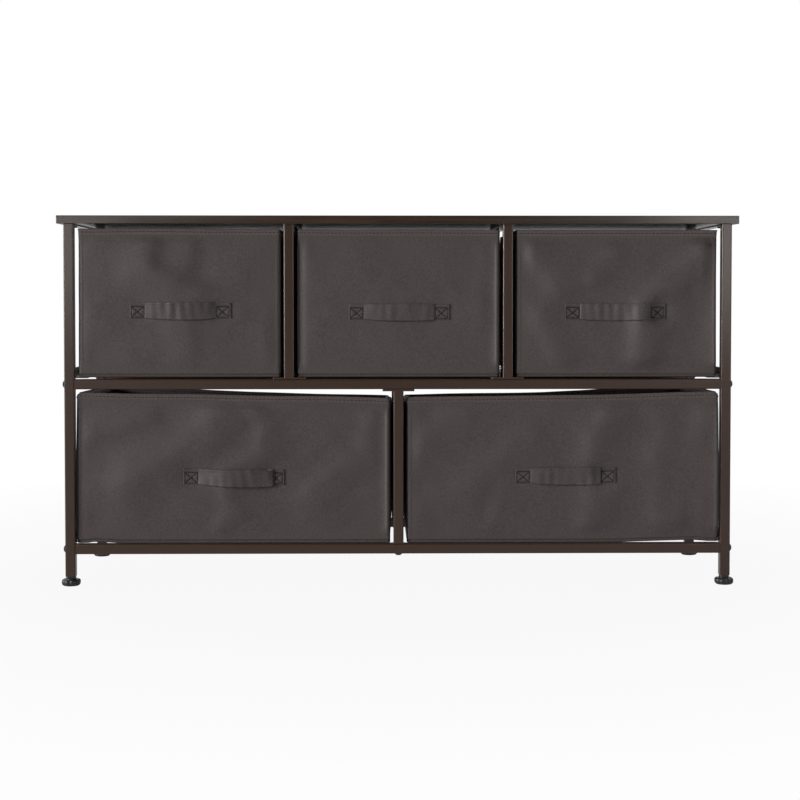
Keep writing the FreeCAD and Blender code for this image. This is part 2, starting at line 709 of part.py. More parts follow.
def drawer_skin(label, tier):
    """Outer fabric: a rounded bin whose walls are hollow for the panels, closed by the hem."""
    body = new_body(label)
    sketch = new_sketch(body, f"{label}_outline", "XY_Plane")
    rounded_rectangle(sketch, "outside", f"{tier}_drawer_width", "drawer_depth", "drawer_corner")
    block = pad(body, sketch, f"{tier}_drawer_height")
    round_edges(body, block, "drawer_bottom_round", lambda edge: edge.BoundBox.ZMax < cell("skin_thickness"))
    mouth = new_sketch(body, f"{label}_mouth", "XY_Plane", lift=f"{tier}_drawer_height")
    rounded_rectangle(mouth, "mouth", f"{tier}_mouth_width", "mouth_depth", "mouth_corner")
    pocket(body, mouth, f"{tier}_mouth_reach")
    cavity = new_sketch(body, f"{label}_cavity", "XY_Plane", lift=f"{tier}_hem_underside")
    rounded_rectangle(cavity, "cavity", f"{tier}_cavity_width", "cavity_depth", "cavity_corner")
    pocket(body, cavity, f"{tier}_panel_height")
    return as_node(body, label)


def drawer_lining(label, tier):
    body = new_body(label)
    sketch = new_sketch(body, f"{label}_section", "XY_Plane", lift="panel_seat")
    rounded_rectangle(sketch, "outside", f"{tier}_lining_width", "lining_depth", "lining_corner")
    rounded_rectangle(sketch, "inside", f"{tier}_mouth_width", "mouth_depth", "mouth_corner")
    pad(body, sketch, f"{tier}_panel_height")
    return as_node(body, label)


def panel(name, length, width, height, x, y):
    board = doc.addObject("Part::Box", name)
    bind(board, "Length", length)
    bind(board, "Width", width)
    bind(board, "Height", height)
    return place(board, x, y, "panel_seat")


def drawer_panels(label, tier):
    """Front and rear panels, and side panels in two halves so that the bin folds flat."""
    boards = []
    length = f"{tier}_panel_length"
    height = f"{tier}_panel_height"
    for end, y in (("front", "-front_panel_y"), ("rear", "rear_panel_y")):
        boards.append(panel(f"{label}_{end}", length, "panel_thickness", height, f"-{tier}_panel_half", y))
    for side, x in (("left", f"-{tier}_left_panel_x"), ("right", f"{tier}_right_panel_x")):
        for end, y in (("front", "-side_panel_front"), ("rear", "side_panel_rear")):
            name = f"{label}_{side}_{end}"
            boards.append(panel(name, "panel_thickness", "side_panel_length", height, x, y))
    compound = doc.addObject("Part::Compound", label)
    compound.Links = boards
    return as_node(compound, label)


def drawer_base(label, tier):
    body = new_body(label)
    sketch = new_sketch(body, f"{label}_outline", "XY_Plane")
    rounded_rectangle(sketch, "base", f"{tier}_base_width", "base_depth", "mouth_corner")
    pad(body, sketch, "base_thickness")
    return as_node(body, label)


def drawer_handle(label):
    """Sewn strap: two flat ends and a bowed middle, drawn from above."""
    body = new_body(label)
    sketch = new_sketch(body, f"{label}_section", "XY_Plane")
    half_length = cell("handle_length") / 2
    half_span = cell("handle_span") / 2
    bow = cell("handle_bow")
    back = (Vector(-half_length, 0), Vector(-half_span, 0), Vector(half_span, 0), Vector(half_length, 0))
    shift = Vector(0, -cell("handle_thickness"))
    front = [point + shift for point in back]
    crown = Vector(0, -bow)

    def line(start, end):
        return sketch.addGeometry(Part.LineSegment(start, end))

    back_left = line(back[0], back[1])
    back_bow = sketch.addGeometry(Part.Arc(back[1], crown, back[2]))
    back_right = line(back[2], back[3])
    right_end = line(back[3], front[3])
    front_right = line(front[3], front[2])
    front_bow = sketch.addGeometry(Part.Arc(front[1], crown + shift, front[2]))
    front_left = line(front[1], front[0])
    left_end = line(front[0], back[0])

    joints = (
        (back_left, 2, back_bow, 1), (back_bow, 2, back_right, 1), (back_right, 2, right_end, 1),
        (right_end, 2, front_right, 1), (front_right, 2, front_bow, 2), (front_bow, 1, front_left, 1),
        (front_left, 2, left_end, 1), (left_end, 2, back_left, 1),
    )
    for joint in joints:
        constrain(sketch, "Coincident", *joint)
    for flat in (back_left, back_right, front_right, front_left):
        constrain(sketch, "Horizontal", flat)
    for end in (right_end, left_end):
        constrain(sketch, "Vertical", end)
    constrain(sketch, "PointOnObject", back_left, 1, -1)
    constrain(sketch, "Symmetric", back_left, 1, back_right, 2, -2)
    constrain(sketch, "Horizontal", front_left, 1, front_right, 2)
    constrain(sketch, "DistanceX", back_left, 1, back_right, 2, 2 * half_length,
              name="length", size="handle_length")
    constrain(sketch, "DistanceY", right_end, 2, right_end, 1, -shift.y,
              name="thickness", size="handle_thickness")
    for name, bowed in (("back", back_bow), ("front", front_bow)):
        constrain(sketch, "PointOnObject", bowed, 3, -2)
        constrain(sketch, "DistanceX", bowed, 1, bowed, 2, 2 * half_span,
                  name=f"{name}_span", size="handle_span")
        constrain(sketch, "Radius", bowed, cell("handle_bow_radius"),
                  name=f"{name}_radius", size="handle_bow_radius")
    pad(body, sketch, "handle_width", symmetric=True)
    return as_node(body, label)


def drawers():
    bays = (
        ("drawer_top_left", "upper", "-upper_drawer_pitch"),
        ("drawer_top_middle", "upper", "0"),
        ("drawer_top_right", "upper", "upper_drawer_pitch"),
        ("drawer_bottom_left", "lower", "-lower_drawer_pitch"),
        ("drawer_bottom_right", "lower", "lower_drawer_pitch"),
    )
    for name, tier, x in bays:
        floor = f"{tier}_drawer_floor"
        place(drawer_skin(f"{name}_skin", tier), x, "drawer_y", floor)
        place(drawer_panels(f"{name}_panels", tier), x, "drawer_y", floor)
        place(drawer_lining(f"{name}_lining", tier), x, "drawer_y", floor)
        place(drawer_base(f"{name}_base", tier), x, "drawer_y", f"{tier}_base_floor")
        place(drawer_handle(f"{name}_handle"), x, "-drawer_front", f"{tier}_handle_height")


def check_and_export():
    doc.recompute()
    for item in doc.Objects:
        if {"Invalid", "Error"} & set(item.State):
            raise RuntimeError(f"{item.Name} did not compute: {item.State}")
    for node in nodes:
        if node.Shape.isNull() or not node.Shape.isValid():
            raise RuntimeError(f"{node.Label} has no valid shape")
    os.makedirs("parts", exist_ok=True)
    for node in nodes:
        node.Shape.exportStep(f"parts/{node.Label}.step")
    print(len(nodes), "nodes,", sum(len(node.Shape.Solids) for node in nodes), "solids")


fill_sheet()
top_board()
side_frames()
long_rails()
posts()
straps()
post_runners()
post_head_plates()
tube_plugs()
bolts_and_screws()
leg_sleeves()
feet()
drawers()
check_and_export()
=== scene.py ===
import math

import bmesh
import bpy
import numpy as np
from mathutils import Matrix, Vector


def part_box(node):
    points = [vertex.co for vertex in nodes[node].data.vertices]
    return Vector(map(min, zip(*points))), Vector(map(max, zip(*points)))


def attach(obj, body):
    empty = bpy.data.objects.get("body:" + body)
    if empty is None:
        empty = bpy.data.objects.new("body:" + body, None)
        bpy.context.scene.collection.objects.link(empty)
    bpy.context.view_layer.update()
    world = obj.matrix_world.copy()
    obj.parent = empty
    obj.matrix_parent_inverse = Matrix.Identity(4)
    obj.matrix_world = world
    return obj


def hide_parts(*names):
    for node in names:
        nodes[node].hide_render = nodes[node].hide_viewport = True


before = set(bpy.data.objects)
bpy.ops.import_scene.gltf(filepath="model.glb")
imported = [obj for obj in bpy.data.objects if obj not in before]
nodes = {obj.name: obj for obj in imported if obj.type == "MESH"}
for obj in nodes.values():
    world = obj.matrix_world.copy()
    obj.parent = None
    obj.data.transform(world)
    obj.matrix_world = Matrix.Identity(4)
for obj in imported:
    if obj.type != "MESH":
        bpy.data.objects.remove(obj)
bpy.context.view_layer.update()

MM = 0.001
WHITE = (1.0, 1.0, 1.0, 1.0)

# Inputs of a mix node
MIX_SHARE = 0
MIX_NUMBERS = (2, 3)
MIX_COLOURS = (6, 7)


# Materials

class Graph:
    """A node tree, with short ways to add nodes and to set or link their inputs."""

    def __init__(self, tree):
        self.tree = tree

    def add(self, kind, inputs=None, **settings):
        made = self.tree.nodes.new(kind)
        for key, value in settings.items():
            setattr(made, key, value)
        for key, value in (inputs or {}).items():
            self.put(made, key, value)
        return made

    def put(self, made, key, value):
        if isinstance(value, bpy.types.NodeSocket):
            self.tree.links.new(value, made.inputs[key])
        else:
            made.inputs[key].default_value = value

    def math(self, operation, first, second):
        return self.add("ShaderNodeMath", {0: first, 1: second}, operation=operation).outputs["Value"]

    def spread(self, value, low, high, source=(0.3, 0.7)):
        """From low to high while the value crosses its source range."""
        inputs = {
            "Value": value,
            "From Min": source[0],
            "From Max": source[1],
            "To Min": low,
            "To Max": high,
        }
        return self.add("ShaderNodeMapRange", inputs).outputs["Result"]


class Shader(Graph):
    """A procedural material around one Principled shader, in the object's own coordinates."""

    def __init__(self, name):
        self.material = bpy.data.materials.new(name)
        self.material.use_nodes = True
        super().__init__(self.material.node_tree)
        self.surface = self.tree.nodes["Principled BSDF"]
        self.place = self.add("ShaderNodeTexCoord").outputs["Object"]

    def stretched(self, *scale):
        return self.add("ShaderNodeMapping", {"Vector": self.place, "Scale": scale}).outputs["Vector"]

    def noise(self, scale, detail=2.0, roughness=0.5, distortion=0.0, place=None):
        inputs = {
            "Vector": place or self.place,
            "Scale": scale,
            "Detail": detail,
            "Roughness": roughness,
            "Distortion": distortion,
        }
        return self.add("ShaderNodeTexNoise", inputs).outputs["Fac"]

    def ramp(self, value, *stops):
        made = self.add("ShaderNodeValToRGB", {"Fac": value})
        steps = made.color_ramp.elements
        for number, (position, colour) in enumerate(stops):
            step = steps[number] if number < len(steps) else steps.new(position)
            step.position = position
            step.color = (*colour, 1.0)
        return made.outputs["Color"]

    def grey(self, value, low, high, source=(0.3, 0.7)):
        return self.ramp(value, (source[0], (low,) * 3), (source[1], (high,) * 3))

    def mixed(self, share, first, second, blend="MIX"):
        inputs = dict(zip((MIX_SHARE, *MIX_COLOURS), (share, first, second)))
        return self.add("ShaderNodeMix", inputs, data_type="RGBA", blend_type=blend).outputs[2]

    def shade(self, colour, share):
        """Colour times a grey share."""
        return self.mixed(1.0, colour, share, "MULTIPLY")

    def between(self, share, first, second):
        inputs = dict(zip((MIX_SHARE, *MIX_NUMBERS), (share, first, second)))
        return self.add("ShaderNodeMix", inputs, data_type="FLOAT").outputs[0]

    def bump(self, height, strength, distance):
        inputs = {"Height": height, "Strength": strength, "Distance": distance}
        return self.add("ShaderNodeBump", inputs).outputs["Normal"]

    def done(self, **sockets):
        for key, value in sockets.items():
            self.put(self.surface, key.replace("_", " "), value)
        return self.material


def tones(colour, *shares):
    return [tuple(share * part for part in colour) for share in shares]


# The attribute that marks a hem's points, where the cloth gets a painted sheen, and how dark the cloth is
# beside that painted sheen
HEM_SHEEN_MARK = "hem"
HEM_SHEEN_TONE = 0.76

# Heights of a normal between which a face turns into an underside
UNDERSIDE = (-0.95, -0.6)


def fabric(name, colour, contrast):
    """Non-woven cloth: pressed fibres, a fine speckle and a slow mottle, with a painted sheen that lightens
    the hem.
    """
    shader = Shader(name)
    fibres = shader.noise(scale=900.0, detail=4.0, roughness=0.7)
    speckle = shader.noise(scale=430.0, detail=4.0, roughness=0.65)
    mottle = shader.noise(scale=24.0, detail=3.0)
    hem = shader.add("ShaderNodeAttribute", attribute_name=HEM_SHEEN_MARK).outputs["Fac"]
    dark, light = tones(colour, (1.0 - contrast) / HEM_SHEEN_TONE, (1.0 + contrast) / HEM_SHEEN_TONE)
    base = shader.ramp(speckle, (0.36, dark), (0.64, light))
    # Painted sheen: the marked hem points are coloured lighter than the rest of the cloth.
    base = shader.shade(base, shader.grey(hem, HEM_SHEEN_TONE, 1.0, source=(0.0, 1.0)))
    base = shader.shade(base, shader.grey(mottle, 0.93, 1.0))
    return shader.done(
        Base_Color=base,
        Roughness=shader.spread(fibres, 0.44, 0.56),
        Specular_IOR_Level=0.35,
        Normal=shader.bump(fibres, strength=0.35, distance=0.4 * MM),
    )


def coated_steel(name, colour, roughness):
    """Powder coat: a slight orange peel and a soft change of tone."""
    shader = Shader(name)
    peel = shader.noise(scale=700.0, detail=2.0)
    patches = shader.noise(scale=35.0, detail=3.0)
    dark, light = tones(colour, 0.94, 1.06)
    return shader.done(
        Base_Color=shader.ramp(patches, (0.3, dark), (0.7, light)),
        Roughness=shader.spread(peel, roughness - 0.03, roughness + 0.03),
        Normal=shader.bump(peel, strength=0.05, distance=0.2 * MM),
    )


def laminate(name, colour, backing):
    """Dark printed wood: long grain with fine pores, and a plain backing on its underside."""
    shader = Shader(name)
    figure = shader.noise(
        scale=5.0, detail=4.0, roughness=0.55, distortion=1.2, place=shader.stretched(0.6, 7.0, 7.0)
    )
    streaks = shader.noise(
        scale=16.0, detail=6.0, roughness=0.65, distortion=0.3, place=shader.stretched(0.35, 14.0, 14.0)
    )
    pores = shader.noise(scale=60.0, detail=2.0, roughness=0.6, place=shader.stretched(0.5, 22.0, 22.0))
    dark, middle, light = tones(colour, 0.55, 1.0, 1.6)
    base = shader.ramp(figure, (0.3, dark), (0.5, middle), (0.72, light))
    base = shader.shade(base, shader.grey(streaks, 0.6, 1.0))
    base = shader.shade(base, shader.grey(pores, 0.75, 1.0))
    facing = shader.add("ShaderNodeNewGeometry").outputs["Normal"]
    height = shader.add("ShaderNodeSeparateXYZ", {"Vector": facing}).outputs["Z"]
    under = shader.spread(height, 1.0, 0.0, UNDERSIDE)
    strength = shader.spread(height, 0.0, 0.12, UNDERSIDE)
    return shader.done(
        Base_Color=shader.mixed(under, base, (*backing, 1.0)),
        Roughness=shader.between(under, shader.spread(streaks, 0.17, 0.25), 0.26),
        Normal=shader.bump(pores, strength, distance=0.2 * MM),
    )


def plastic(name, colour, roughness):
    """Moulded plastic: a fine grain and slow flow marks."""
    shader = Shader(name)
    grain = shader.noise(scale=1200.0, detail=2.0)
    flow = shader.noise(scale=90.0, detail=2.0)
    dark, light = tones(colour, 0.85, 1.15)
    return shader.done(
        Base_Color=shader.ramp(flow, (0.3, dark), (0.7, light)),
        Roughness=shader.spread(flow, roughness - 0.05, roughness + 0.07),
        Normal=shader.bump(grain, strength=0.08, distance=0.2 * MM),
    )


def metal(name, colour, roughness, metallic):
    """Plated or blackened steel with fine marks."""
    shader = Shader(name)
    marks = shader.noise(scale=500.0, detail=3.0)
    dark, light = tones(colour, 0.85, 1.1)
    return shader.done(
        Base_Color=shader.ramp(marks, (0.3, dark), (0.7, light)),
        Metallic=metallic,
        Roughness=shader.spread(marks, roughness - 0.05, roughness + 0.08),
        Normal=shader.bump(marks, strength=0.05, distance=0.1 * MM),
    )


BROWN_CLOTH = (0.070, 0.056, 0.0545)
GREY_LINING = (0.130, 0.134, 0.110)
DARK_THREAD = (0.013, 0.007, 0.006)
HEM_THREAD = tones(BROWN_CLOTH, 0.22)[0]
BROWN_PAINT = (0.042, 0.0205, 0.0120)
BROWN_WOOD = (0.050, 0.029, 0.018)
BACKING = (0.046, 0.0445, 0.043)
BLACK_PLASTIC = (0.010, 0.010, 0.012)
BLACK_OXIDE = (0.020, 0.020, 0.021)
ZINC = (0.56, 0.56, 0.55)

cloth = fabric("drawer_cloth", BROWN_CLOTH, contrast=0.22)
lining = fabric("lining_cloth", GREY_LINING, contrast=0.15)
thread = fabric("thread", DARK_THREAD, contrast=0.2)
hem_thread = fabric("hem_thread", HEM_THREAD, contrast=0.2)
paint = coated_steel("brown_coat", BROWN_PAINT, roughness=0.22)
board = laminate("board_laminate", BROWN_WOOD, BACKING)
moulding = plastic("foot_moulding", BLACK_PLASTIC, roughness=0.4)
black_bolt = metal("black_oxide", BLACK_OXIDE, roughness=0.34, metallic=0.5)
plated = metal("zinc_plate", ZINC, roughness=0.32, metallic=1.0)

# The finish of each node by the start of its name. All others are painted.
FINISHES = {
    "top_board": board,
    "frame_bolts": black_bolt,
    "divider_bolts": plated,
    "pan_screws": black_bolt,
    "tube_plugs": moulding,
    "leg_sleeves": moulding,
    "foot_stud": plated,
    "foot_pad": moulding,
    "drawer": cloth,
}


def finish_of(name):
    for start, material in FINISHES.items():
        if name.startswith(start):
            return material
    return paint


for name, node in nodes.items():
    node.data.materials.clear()
    node.data.materials.append(finish_of(name))


# Mesh helpers

def add_mesh(name, points, faces, material, body):
    """A smooth closed mesh from points in millimetres, which rides on a body."""
    mesh = bpy.data.meshes.new(name)
    mesh.from_pydata((np.asarray(points) * MM).tolist(), [], faces)
    work = bmesh.new()
    work.from_mesh(mesh)
    bmesh.ops.recalc_face_normals(work, faces=work.faces)
    work.to_mesh(mesh)
    work.free()
    mesh.shade_smooth()
    mesh.materials.append(material)
    made = bpy.data.objects.new(name, mesh)
    bpy.context.scene.collection.objects.link(made)
    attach(made, body)
    return made


def strips(index):
    """Faces between neighbouring loops of point numbers."""
    ahead = np.roll(index, -1, axis=1)
    quads = np.stack([index[:-1], ahead[:-1], ahead[1:], index[1:]], axis=-1)
    return quads.reshape(-1, 4).tolist()


def loft(rows):
    """Points and faces of a closed shell through loops of equal length, with flat ends."""
    count, around = rows.shape[:2]
    index = np.arange(count * around).reshape(count, around)
    faces = strips(index) + [index[0, ::-1].tolist(), index[-1].tolist()]
    return rows.reshape(-1, 3), faces


def ring(rows):
    """Points and faces of a shell whose last loop joins its first."""
    count, around = rows.shape[:2]
    index = np.arange(count * around).reshape(count, around)
    return rows.reshape(-1, 3), strips(np.concatenate([index, index[:1]]))


def smooth(value, low, high):
    """From 0 to 1 between two values, with soft ends."""
    share = np.clip((value - low) / (high - low), 0.0, 1.0)
    return share * share * (3.0 - 2.0 * share)


def hill(distance, width):
    return np.exp(-((distance / width) ** 2))


RIPPLES = 7


def ripple(first, second, wavelength, seed):
    """A soft random field with hills about a wavelength apart."""
    source = np.random.default_rng(seed)
    total = np.zeros(np.broadcast(first, second).shape)
    for turn, phase in source.uniform(0.0, 2.0 * math.pi, (RIPPLES, 2)):
        along = first * math.cos(turn) + second * math.sin(turn)
        total += np.sin(2.0 * math.pi * along / wavelength + phase)
    return total / math.sqrt(RIPPLES)


def ridge(x, z, points, left, right, rise):
    """A fold along a line of points, with its own width on each side of its run."""
    height = np.zeros(np.broadcast(x, z).shape)
    for (x0, z0), (x1, z1) in zip(points, points[1:]):
        run = np.array((x1 - x0, z1 - z0), float)
        along = ((x - x0) * run[0] + (z - z0) * run[1]) / run.dot(run)
        along = np.clip(along, 0.0, 1.0)
        off_x, off_z = x - x0 - along * run[0], z - z0 - along * run[1]
        away = np.hypot(off_x, off_z)
        side = (run[0] * off_z - run[1] * off_x) / (math.sqrt(run.dot(run)) * away + 1e-6)
        width = right + (left - right) * smooth(side, -1.0, 1.0)
        height = np.maximum(height, hill(away, width))
    return rise * height


# Stitches

STITCH_SIDES = 6
STITCH_FLATNESS = 0.7

# Place along a stitch and share of its radius
STITCH_RINGS = ((-0.5, 0.35), (-0.32, 0.85), (0.0, 1.0), (0.32, 0.85), (0.5, 0.35))


def stitch_points(starts, ends, normals, radius):
    """Small round-ended stitches from starts to ends, pressed flat along the normals."""
    run = ends - starts
    length = np.linalg.norm(run, axis=1, keepdims=True)
    run = run / length
    across = np.cross(normals, run)
    across /= np.linalg.norm(across, axis=1, keepdims=True)
    lift = np.cross(run, across)
    middle = (starts + ends) / 2.0
    turns = np.arange(STITCH_SIDES) * 2.0 * math.pi / STITCH_SIDES
    loops = []
    for share, size in STITCH_RINGS:
        for turn in turns:
            side = across * math.cos(turn) * radius * size
            rise = lift * math.sin(turn) * radius * size * STITCH_FLATNESS
            loops.append(middle + run * length * share + side + rise)
    return np.stack(loops, axis=1)


def stitch_faces(count):
    size = len(STITCH_RINGS) * STITCH_SIDES
    pattern = loft(np.zeros((len(STITCH_RINGS), STITCH_SIDES, 3)))[1]
    return [[corner + number * size for corner in face] for number in range(count) for face in pattern]


def seam(path, normals, pitch, length, radius):
    """Stitches along a path of points."""
    steps = np.linalg.norm(np.diff(path, axis=0), axis=1)
    along = np.concatenate([[0.0], np.cumsum(steps)])
    number = max(1, int(round(along[-1] / pitch)))
    middles = (np.arange(number) + 0.5) * along[-1] / number

    def at(where, values):
        return np.stack([np.interp(where, along, values[:, axis]) for axis in range(3)], axis=1)

    starts = at(middles - length / 2.0, path)
    ends = at(middles + length / 2.0, path)
    return stitch_points(starts, ends, at(middles, normals), radius)


def add_stitches(name, seams, material, body):
    points = np.concatenate(seams)
    faces = stitch_faces(len(points))
    return add_mesh(name, points.reshape(-1, 3), faces, material, body)


# Drawer shape, in millimetres from the middle of the drawer and from its floor

CORNER = 4.0
CORNER_STEPS = 5
FACE_STEP = 4.5

# Places along a wall from its corner, and from a fold seam in its middle
EDGE_STATIONS = np.array((0.0, 1.2, 2.4, 3.8, 5.5, 8.0, 11.0))
FOLD_STATIONS = np.array((8.5, 6.5, 5.2, 4.3, 3.6, 2.9, 2.2, 1.5, 0.7))
FIELD_START = 15.0
FOLD_ROOM = 11.0
PLAIN_ROOM = 2.0

FRONT, RIGHT, REAR, LEFT, TURN = range(5)

# Soft waves of the cloth: height, wavelength and step from the drawer's seed
WAVES = {
    "slow": (0.6, 95.0, 0),
    "fine": (0.16, 34.0, 1),
    "right": (0.28, 80.0, 2),
    "left": (0.28, 80.0, 3),
    "rear": (0.8, 110.0, 5),
    "rim": (0.5, 170.0, 7),
    "lining": (0.35, 70.0, 9),
    "strap": (0.5, 13.0, 13),
}

# Where the forms of a wall begin and are full, above its bottom edge and below its top edge
FADES = {
    "front": ((5.0, 32.0), (9.0, 24.0)),
    "ends": ((6.0, 24.0), (9.0, 30.0)),
    "side": ((5.0, 16.0), (9.0, 15.0)),
    "rear": ((5.0, 26.0), (8.0, 26.0)),
}
FRONT_MARGIN = (4.0, 26.0)
REAR_MARGIN = (5.0, 40.0)

# The crown of a front, the seam at its corners, and the calm round the sewn ends of its strap
CROWN = 1.2
SEAM_RISE, SEAM_INSET, SEAM_WIDTH = 0.45, 1.2, 1.0
CALM_PLACE, CALM_WIDTH, CALM_HEIGHT, CALM_SHARE = 63.5, 26.0, 24.0, 0.95

# The fold seam of a side: how far it slants, its two ridges and the crease between them
FOLD_SLANT = 3.0
RIDGE_RISE, RIDGE_AWAY, RIDGE_WIDTH = 0.75, 3.5, 1.1
CREASE_DEPTH, CREASE_WIDTH = 1.0, 1.5

# How a drawer settles: the droop grows to the rear, and the line of its floor ends behind the front
DROOP_POWER = 1.3
RIM_POWER = 6
FLOOR_REACH = (4.0, 10.0)
BULGE_TAPER = 40.0
BULGE_START = 45.0
LEVEL = ((0.0, 1.0), (0.0, 0.0))

# A fold is a ridge along a line of points of the front, with its width on the left-hand and on the
# right-hand side of that run and its height. The edges are how far a front falls or rises at its two ends,
# and over which length. The bulges are those of the left and the right wall. Rim and floor are how far the
# top and the bottom of the front lie off their level, and droop is how far the rear falls, by place across.
LOOKS = {
    "drawer_top_left": {
        "seed": 11,
        "folds": (
            (((-42, 98), (-45, 72), (-46, 48), (-2, 26), (58, 0)), 19, 40, 5.4),
            (((19, 94), (11, 52)), 13, 26, 2.4),
            (((8, -30), (12, -95)), 18, 36, 2.6),
        ),
        "edges": ((-1.2, 15), (-0.6, 15)),
        "bulge": ("drawn_in", "upper"),
        "rim": ((-149, 149), (2.0, 1.4)),
    },
    "drawer_top_middle": {
        "seed": 23,
        "folds": (
            (((-30, -20), (20, -95)), 34, 34, 0.8),
            (((132, 62), (118, 10), (126, -40)), 24, 16, 1.1),
        ),
        "edges": ((-3.0, 13), (2.8, 14)),
        "bulge": ("upper", "upper"),
        "rim": ((-149, 149), (0.9, 0.6)),
    },
    "drawer_top_right": {
        "seed": 37,
        "folds": (
            (((154, 96), (106, 58), (64, 19), (46, -4)), 36, 21, 9.6),
            (((42, -24), (39, -66), (34, -98)), 36, 23, 8.8),
            (((-6, 74), (-34, 40)), 20, 15, 3.8),
            (((-122, 68), (-84, 22)), 28, 18, 5.0),
            (((-112, -15), (-78, -88)), 26, 18, 4.0),
        ),
        "edges": ((-0.6, 15), (6.6, 44)),
        "bulge": ("upper", "narrow"),
    },
    "drawer_bottom_left": {
        "seed": 41,
        "folds": (
            (((-12, 92), (-41, 41), (-150, -18)), 44, 31, 4.6),
            (((24, 100), (46, 62), (38, 24), (-14, -6)), 26, 14, 3.0),
            (((-10, -34), (-4, -58), (-29, -104)), 26, 16, 3.0),
            (((200, 70), (193, 28), (114, -34)), 30, 16, 2.4),
            (((-122, 76), (-222, 44)), 15, 20, 2.2),
        ),
        "edges": ((-0.8, 15), (2.8, 16)),
        "bulge": ("slack", "inner"),
        "rim": ((-229, 0, 229), (4.3, 0.2, -4.1)),
        "floor": ((-229, -216, -209, -197, -165, 229), (-1.6, -1.4, 0.0, -0.4, -2.1, -2.2)),
        "droop": ((-229, -59, 0, 229), (5.0, 10.8, 12.2, 13.9)),
        "rolled": True,
    },
    "drawer_bottom_right": {
        "seed": 53,
        "folds": (
            (((76, 88), (48, 42), (44, 12)), 38, 18, 5.2),
            (((54, -28), (34, -104)), 34, 20, 4.0),
            (((142, 92), (154, 52), (142, 20)), 30, 18, 3.4),
            (((140, -35), (151, -104)), 30, 17, 3.0),
            (((212, 70), (190, 0), (172, -104)), 44, 24, 3.0),
            (((-48, 52), (-126, -14)), 30, 22, 2.4),
            (((-83, -36), (-108, -104)), 28, 17, 2.2),
            (((-150, 92), (-212, 40)), 28, 20, 2.0),
        ),
        "edges": ((-0.4, 15), (6.2, 44)),
        "bulge": ("inner", "loose"),
        "rim": ((-229, 56, 229), (-2.7, 0.2, 5.4)),
        "floor": ((-229, 75, 205, 214, 229), (-2.2, -2.1, 1.6, -0.6, -0.8)),
        "droop": ((-229, 0, 51, 229), (13.9, 12.2, 10.6, 5.0)),
        "rolled": True,
    },
}

# How far a side wall stands out, by height, and how much of that its front corner takes part in.
BULGES = {
    "inner": ((0, 25, 60, 190, 217), (0.0, 2.0, 3.9, 3.9, 3.2), 0.0),
    "drawn_in": ((0, 60, 150, 200, 217), (-0.6, -1.0, -1.6, -1.6, -1.2), 1.0),
    "narrow": ((0, 60, 150, 200, 217), (-1.6, -2.2, -2.6, -2.4, -1.4), 1.0),
    "upper": ((0, 6, 30, 190, 217), (2.9, 3.6, 3.9, 3.9, 2.6), 0.0),
    "slack": ((0, 8, 40, 120, 180, 217), (2.6, 3.8, 4.2, 4.0, 2.8, 2.0), 1.0),
    "loose": ((0, 8, 40, 120, 180, 217), (2.6, 3.8, 4.2, 4.2, 3.0, 2.2), 0.75),
}


def wall_stations(length, folded):
    """Places along half a wall and back, closer near the corners and at a fold seam."""
    half = length / 2.0
    steps = np.arange(FIELD_START, half - (FOLD_ROOM if folded else PLAIN_ROOM), FACE_STEP)
    first = np.concatenate([EDGE_STATIONS, steps, half - FOLD_STATIONS if folded else []])
    return np.concatenate([first - half, [0.0], (half - first)[::-1]])


class Loop:
    """Stations around a rounded rectangle, with the wall each belongs to and its way out."""

    def __init__(self, half_x, half_y):
        walls = (
            ((1, 0), (0, -1), half_x, half_y, False),
            ((0, 1), (1, 0), half_y, half_x, True),
            ((-1, 0), (0, 1), half_x, half_y, False),
            ((0, -1), (-1, 0), half_y, half_x, True),
        )
        points, normals, wall, along, inset = [], [], [], [], []
        for number, (way, out, half, reach, folded) in enumerate(walls):
            way, out = np.array(way, float), np.array(out, float)
            straight = half - CORNER
            for place in wall_stations(2.0 * straight, folded):
                points.append(way * place + out * reach)
                normals.append(out)
                wall.append(number)
                along.append(place)
                inset.append(straight - abs(place))
            for step in range(CORNER_STEPS):
                turn = (step + 1) / (CORNER_STEPS + 1) * math.pi / 2.0
                facing = out * math.cos(turn) + way * math.sin(turn)
                points.append(way * straight + out * (reach - CORNER) + facing * CORNER)
                normals.append(facing)
                wall.append(TURN)
                along.append(0.0)
                inset.append(0.0)
        self.half_x, self.half_y = half_x, half_y
        self.points, self.normals = np.array(points), np.array(normals)
        self.wall, self.along, self.inset = np.array(wall), np.array(along), np.array(inset)


